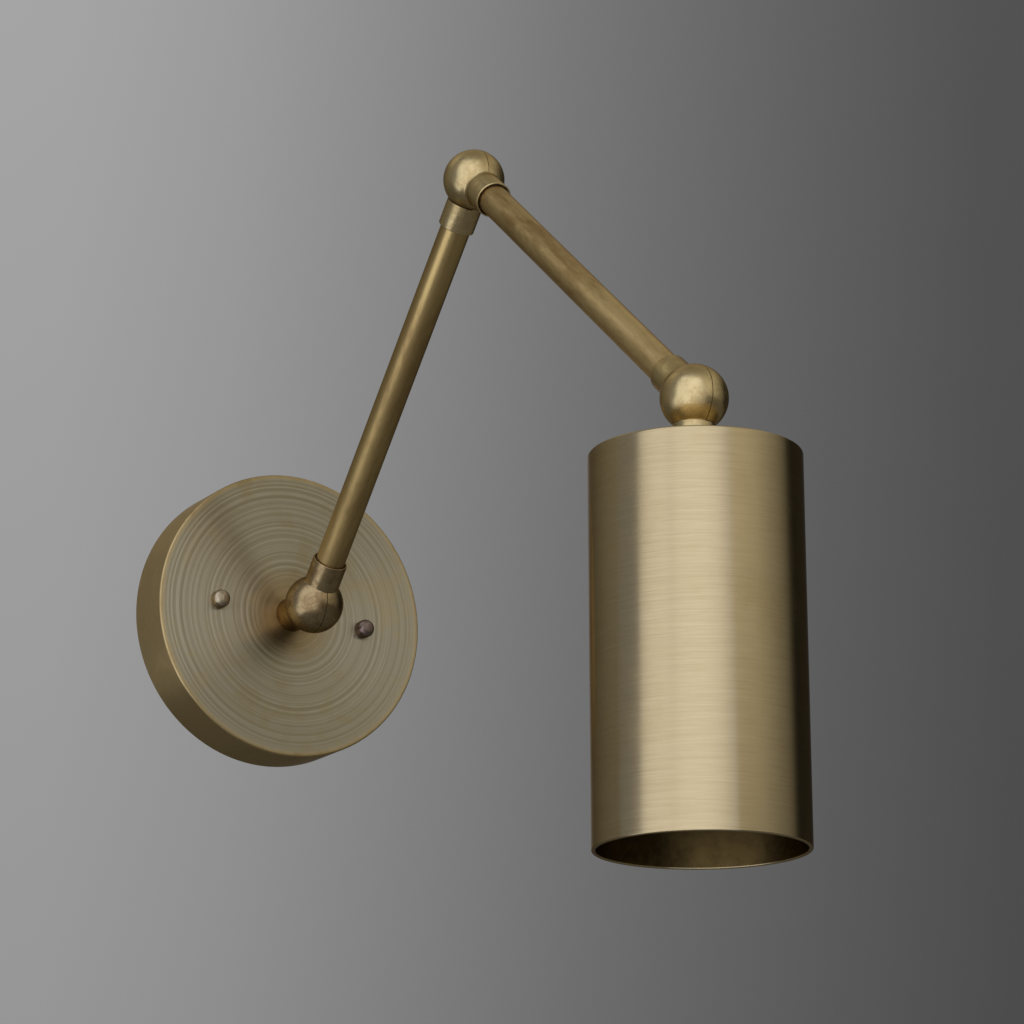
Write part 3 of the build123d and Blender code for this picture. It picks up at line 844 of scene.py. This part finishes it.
def make_shade():
    height = shade_top - shade_mouth
    inner = shade_r - shade_wall
    profile = [(pipe_bore_r, 0)] + arc(shade_r - shade_edge, shade_edge, shade_edge, -90, 0, 6)
    profile += arc(shade_r - rim_edge, height - rim_edge, rim_edge, 0, 90, 5)
    profile += arc(inner + rim_edge, height - rim_edge, rim_edge, 90, 180, 5)
    profile += [(inner, shade_wall + shade_corner), (inner - shade_corner, shade_wall)]
    profile += [(pipe_bore_r, shade_wall)]
    shade = in_shade(turned("spun_shade", profile, steps=256))
    smooth(shade)
    dress(shade, shade_finish(), "lamp_head", "shade_brass", "shade")
    # the inner faces get the painted shade of the inside
    shade.data.materials.append(inside_painted_shade_finish())
    for face in shade.data.polygons:
        middle = face.center / MM
        out = hypot(middle.x, middle.y - tip_centre.y)
        below_top = shade_top - middle.z
        if out < inner + face_margin and shade_wall - face_margin < below_top < height - rim_edge:
            face.material_index = 1


# ---------------------------------------------------------------- lampholder

def reach_in_shade(node):
    """Where a node starts and ends below the shade's top, and its radius."""
    low, high = box_mm(node)
    return shade_top - high.z, shade_top - low.z, high.x


def below(start, points):
    """A stretch of a profile, its depths counted from where the piece starts."""
    return [(radius, start + depth) for radius, depth in points]


def bead(radius, middle, rise, half):
    """A pressed bead on a thin wall, as points of its profile."""
    return [(radius + rise * (0.5 + 0.5 * cos(pi * i / 4)), middle + half * i / 4) for i in range(-4, 5)]


def make_holder_cap(finish):
    start, end, radius = reach_in_shade("lampholder_cap")
    inner = radius - cap_wall
    profile = below(start, [(pipe_bore_r, 0), (cap_hub_r - cap_hub_edge, 0), (cap_hub_r, cap_hub_edge)])
    profile += below(start, cap_shoulder + [(radius, cap_skirt)])
    profile += bead(radius, end - cap_bead_from_end, cap_bead_rise, cap_bead_half)
    profile += [(radius, end), (inner, end)] + below(start, [(inner, cap_skirt_inside)] + cap_under)
    cap = in_shade(turned("spun_holder_cap", profile, steps=96))
    smooth(cap, 30)
    dress(cap, finish, "lamp_head", "holder_brass", "lampholder_cap")


def make_holder_shell(finish):
    start, end, radius = reach_in_shade("lampholder_shell")
    inner = radius - holder_wall
    profile = [(inner, start), (radius, start)]
    for middle in (start + holder_bead_from_start, *(end - far for far in holder_beads_from_end)):
        profile += bead(radius, middle, holder_bead_rise, holder_bead_half)
    profile += [(radius, end - lip_start), (radius - lip_edge, end)]
    profile += [(inner + lip_inside, end), (inner, end - lip_edge)]
    shell = in_shade(turned("beaded_holder_shell", profile, steps=96))
    smooth(shell, 30)
    dress(shell, finish, "lamp_head", "holder_brass", "lampholder_shell")


def make_screw_shell(finish):
    """The thin shell with the lamp thread rolled into it."""
    start, end, radius = reach_in_shade("screw_shell")
    crest = radius - thread_sheet / 2
    wave = [(crest - thread_depth * (0.5 - 0.5 * cos(2 * pi * i / thread_points)),
             start + thread_pitch * (i / thread_points - 1)) for i in range(thread_points + 1)]
    shell = outline("rolled_screw_shell", wave, closed=False)
    leave_edit()
    screw = shell.modifiers.new("thread", "SCREW")
    screw.axis = "Z"
    screw.angle = 2 * pi
    screw.screw_offset = thread_pitch * MM
    screw.iterations = int((end - start) / thread_pitch) + 3
    screw.steps = screw.render_steps = thread_steps
    apply_modifiers(shell)
    edit(shell)
    close_up()
    leave_edit()
    wall = shell.modifiers.new("sheet", "SOLIDIFY")
    wall.thickness = thread_sheet * MM
    wall.offset = 0
    apply_modifiers(shell)
    inside, outside = radius - thread_room, radius + overcut
    room = [(inside, start), (outside, start), (outside, end), (inside, end)]
    combine(shell, turned("room", room, steps=96), "INTERSECT")
    in_shade(shell)
    smooth(shell, 40)
    dress(shell, finish, "lamp_head", "screw_shell_brass", "screw_shell")


def make_terminal_screws(finish):
    low, high = box_mm("terminal_screws")
    radius = high.x
    level = (low.z + high.z) / 2
    reach = radius + overcut
    profile = terminal_dome + [(radius, -terminal_edge), (radius, -terminal_screw_h), (0, -terminal_screw_h)]
    made = []
    for name, y, angle in (("front", low.y, 0), ("back", high.y, 180)):
        screw = turned(f"terminal_screw_{name}", profile, steps=48, closed=False)
        slot = block("slot", (-reach, -slot_half, -slot_depth), (reach, slot_half, overcut))
        combine(screw, slot, "DIFFERENCE")
        made.append(set_down(screw, arm_frame((0, y, level), angle)))
    screws = join(made, "slotted_terminal_screws")
    smooth(screws, 35)
    dress(screws, finish, "lamp_head", "tinned_brass", "terminal_screws")


# ---------------------------------------------------------------- in the canopy

def on_ring(angle):
    """A point of the circle on which the leads lie in the canopy, the angle from +X upwards."""
    return Vector((lead_ring_r * cos(radians(angle)), -lead_level, lead_ring_r * sin(radians(angle))))


def make_connector():
    """A twist-on connector along +Z: a tapering cap with grip ribs."""
    slope = (connector_r - connector_tip_r) / connector_length
    profile = [(connector_hole_r, 0), (connector_r - connector_foot_edge, 0)]
    profile += [(connector_r - slope * z, z) for z in (connector_foot, rib_from, rib_to)]
    profile += [(connector_tip_r + past, connector_length - short) for past, short in connector_tip]
    profile += [(0, connector_length), (0, connector_bore), (connector_hole_r, connector_bore)]
    connector = turned("connector", profile, steps=64)
    edit(connector)
    bpy.ops.mesh.select_all(action="DESELECT")
    bpy.ops.mesh.select_mode(type="FACE")
    leave_edit()
    for face in connector.data.polygons:
        middle = face.center / MM
        turn = degrees(Vector((middle.x, middle.y)).angle_signed(Vector((1, 0)), 0)) % rib_pitch
        on_side = rib_from < middle.z < rib_to and hypot(middle.x, middle.y) > connector_tip_r
        face.select = on_side and turn > rib_pitch / 2
    bpy.ops.object.mode_set(mode="EDIT")
    bpy.ops.mesh.extrude_region_shrink_fatten(TRANSFORM_OT_shrink_fatten={"value": -rib_height * MM})
    leave_edit()
    return connector


def make_connectors(finish):
    """Three twist-on connectors, each on the end of its lead."""
    made = []
    for before, last in lead_ends:
        tip = on_ring(last)
        ahead = (tip - on_ring(before)).normalized()
        turn = Vector((0, 0, 1)).rotation_difference(ahead).to_matrix().to_4x4()
        where = Matrix.Translation((tip - ahead * connector_bore) * MM) @ turn
        made.append(set_down(make_connector(), where))
    connectors = join(made, "ribbed_connectors")
    smooth(connectors, 35)
    dress(connectors, finish, "wall_plate", "connector_plastic", "wire_connectors")


def make_eased_bar(node_name, finish):
    """A flat bar of the crossbar with its edges rounded over."""
    bar = copy_of(frame["nodes"][node_name], f"eased_{node_name}")
    choose(bar)
    bpy.ops.mesh.customdata_custom_splitnormals_clear()
    edit(bar)
    merge_points(0.001)
    bpy.ops.mesh.dissolve_limited(angle_limit=radians(0.5))
    leave_edit()
    ease_edges(bar, bar_edge, segments=2)
    smooth(bar, 30)
    dress(bar, finish, "wall_plate", "zinc_steel", node_name)


# ---------------------------------------------------------------- studio

def make_world():
    """A grey room round the lamp: light to the left of the backdrop, dark on the lamp's right."""
    world = bpy.data.worlds.new("studio")
    bpy.context.scene.world = world
    tree = Tree(world, "Generated", bare=True)
    x, y, z = tree.axes()
    around = tree.remap(tree.math("ARCTAN2", y, x), -pi, pi, way="LINEAR")
    wall = tree.ramp(around, [((angle + 180) / 360, grey(tone)) for angle, tone in room_tones])
    ceiling = tree.remap(z, sin(radians(ceiling_from)), sin(radians(ceiling_to)))
    upwards = tree.remap(z, -1.0, 1.0, way="LINEAR")
    levels = [((sin(radians(angle)) + 1) / 2, grey(level)) for angle, level in room_levels]
    light = {"Color": tree.blend(ceiling, wall, ceiling_tone), "Strength": tree.ramp(upwards, levels)}
    background = tree.add("ShaderNodeBackground", light)
    tree.add("ShaderNodeOutputWorld", {"Surface": background.outputs[0]})


def make_floor():
    """A pale floor. It is darker to all but the camera, so it throws less light up at the lamp."""
    bpy.ops.object.select_all(action="DESELECT")
    bpy.ops.mesh.primitive_plane_add(size=floor_size * MM, location=(0, 0, floor_level * MM))
    floor = bpy.context.object
    floor.name = "floor"
    paper = Finish("pale floor")
    pale = paper.blend(paper.remap(paper.noise(floor_patch, detail=2), 0.3, 0.7), *floor_tones)
    seen = paper.add("ShaderNodeLightPath", {}).outputs["Is Camera Ray"]
    paper.set(Base_Color=paper.blend(seen, floor_off_camera, pale), Roughness=0.9)
    floor.data.materials.append(paper.material)


def softbox_glow(middle):
    """The diffuser's light: its tones from left to right, leaning below the lamp and fading upwards."""
    material = bpy.data.materials.new("diffuser")
    tree = Tree(material, bare=True)
    x, y, z = tree.axes()
    around = tree.math("WRAP", tree.math("ARCTAN2", y, x), 2 * pi, 0)
    lean = tree.remap(z, (lean_full - middle) * MM, (lean_none - middle) * MM, radians(lean_angle), 0.0)
    leaned = tree.math("ADD", around, lean)
    across = tree.remap(leaned, radians(softbox_from), radians(softbox_to), way="LINEAR")
    spread = softbox_to - softbox_from
    stops = [((angle - softbox_from) / spread, [tone * part for part in cool_white])
             for angle, tone in softbox_tones]
    fade = tree.remap(z, (softbox_top * fade_start - middle) * MM, (softbox_top - middle) * MM, 1.0, fade_end)
    glow = tree.add("ShaderNodeEmission", {"Color": tree.ramp(across, stops), "Strength": fade})
    tree.add("ShaderNodeOutputMaterial", {"Surface": glow.outputs[0]})
    return material


def make_softbox():
    """A tall curved diffuser to the lamp's left and front. The camera doesn't see it."""
    bpy.ops.object.select_all(action="DESELECT")
    height = softbox_top - softbox_bottom
    middle = (softbox_top + softbox_bottom) / 2
    bpy.ops.mesh.primitive_cylinder_add(vertices=softbox_facets, radius=softbox_distance * MM,
                                        depth=height * MM, end_fill_type="NOTHING",
                                        location=(0, tip_centre.y * MM, middle * MM))
    softbox = bpy.context.object
    softbox.name = "softbox"
    edit(softbox)
    bpy.ops.mesh.select_all(action="DESELECT")
    leave_edit()
    start, end = radians(softbox_from), radians(softbox_to)
    for face in softbox.data.polygons:
        angle = Vector((face.center.x, face.center.y)).angle_signed(Vector((1, 0))) % (2 * pi)
        face.select = not start < angle < end
    bpy.ops.object.mode_set(mode="EDIT")
    bpy.ops.mesh.delete(type="FACE")
    bpy.ops.mesh.select_all(action="SELECT")
    bpy.ops.mesh.normals_make_consistent(inside=True)
    leave_edit()
    softbox.data.materials.append(softbox_glow(middle))
    softbox.visible_camera = False


def make_camera():
    turn, tilt, roll = radians(camera_turn), radians(camera_tilt), radians(camera_roll)
    ahead = Vector((sin(turn) * cos(tilt), cos(turn) * cos(tilt), sin(tilt)))
    level = Vector((cos(turn), -sin(turn), 0))
    upward = level.cross(ahead)
    right = level * cos(roll) + upward * sin(roll)
    above = upward * cos(roll) - level * sin(roll)
    data = bpy.data.cameras.new("camera")
    camera = bpy.data.objects.new("camera", data)
    bpy.context.scene.collection.objects.link(camera)
    data.sensor_width = sensor_width
    data.lens = focal_length
    data.clip_start = 0.05
    data.clip_end = 100
    turned_view = Matrix((right, above, -ahead)).transposed().to_4x4()
    camera.matrix_world = Matrix.Translation(Vector(camera_place) * MM) @ turned_view
    bpy.context.scene.camera = camera


# ---------------------------------------------------------------- putting it together

make_camera()
make_world()
make_floor()
make_softbox()
kept = dress_kept_nodes()
make_canopy()
make_cap_nuts()
make_swivels()
make_arms()
make_shade()
make_holder_cap(kept["holder_brass"])
make_holder_shell(kept["holder_brass"])
make_screw_shell(kept["screw_shell_brass"])
make_terminal_screws(kept["tinned_brass"])
make_connectors(kept["connector_plastic"])
make_eased_bar("box_bar", kept["zinc_steel"])
make_eased_bar("fixture_bar", kept["zinc_steel"])

bpy.context.scene.view_settings.view_transform = "Standard"
